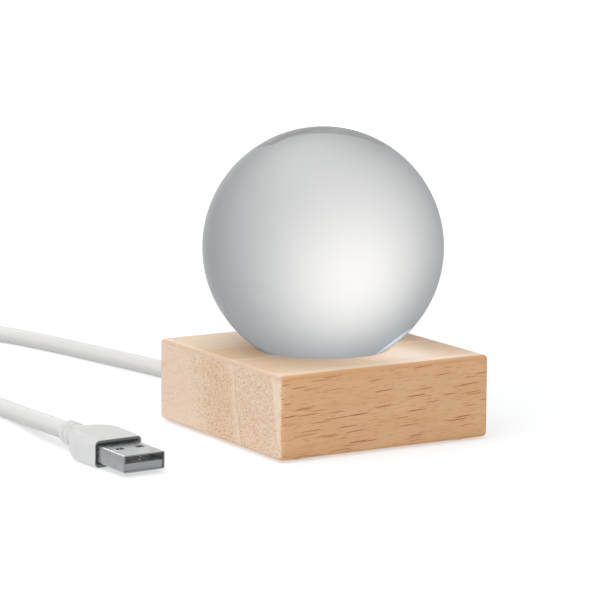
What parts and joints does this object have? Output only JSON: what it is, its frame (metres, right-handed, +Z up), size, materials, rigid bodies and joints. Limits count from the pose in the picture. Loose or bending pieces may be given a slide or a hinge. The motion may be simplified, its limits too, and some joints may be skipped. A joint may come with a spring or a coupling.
{
  "type": "crystal ball lamp",
  "caption": "Clear glass ball resting in the round seat of a square wooden light base, with a light board under a frosted window and a white cord that ends in a flat plug.",
  "frame": {"origin": "centre of the lamp's footprint, on the surface that it stands on, measured without the free cord and its plug", "axes": "+Z up through the ball's centre; the long-grain face of the block looks along -Y, its end-grain face along -X, and the cord leaves the back face along +Y"},
  "size_m": [0.115, 0.2468, 0.0813],
  "materials": {
    "glass": "polished clear",
    "wood": "bare, fine sanded",
    "frosted_window": "frosted, lets light through",
    "board": "white solder mask",
    "chip": "moulded",
    "resistor": "moulded",
    "solder": "satin",
    "screw_steel": "zinc plated",
    "cover_plastic": "fine texture",
    "foot_rubber": "matt",
    "cord_jacket": "satin",
    "tie_nylon": "satin",
    "wire_red": "satin",
    "wire_black": "satin",
    "shell_steel": "bright nickel plate",
    "tongue_plastic": "moulded",
    "contact_metal": "plated",
    "core_plastic": "moulded",
    "plug_plastic": "satin",
    "strap_rubber": "matt"
  },
  "bodies": {
    "base": {"wood_base": "wood", "light_window": "frosted_window", "led_board": "board", "led_chips": "chip", "board_resistors": "resistor", "solder_joints": "solder", "board_screws": "screw_steel", "bottom_cover": "cover_plastic", "cover_screws": "screw_steel", "rubber_feet": "foot_rubber", "cable_end": "cord_jacket", "cable_tie": "tie_nylon", "lead_wire_red": "wire_red", "lead_wire_black": "wire_black", "usb_shell": "shell_steel", "usb_tongue": "tongue_plastic", "usb_contacts": "contact_metal", "plug_core": "core_plastic", "plug_overmould": "plug_plastic", "cord_lamp_run": "cord_jacket", "cord_coil": "cord_jacket", "cord_plug_run": "cord_jacket", "cord_tie": "strap_rubber"},
    "ball": {"crystal_ball": "glass"}
  },
  "joints": [
    {"name": "ball_lift", "type": "slide", "parent": "base", "child": "ball", "axis": [0, 0, 1], "range_m": [0, 0.06]}
  ]
}
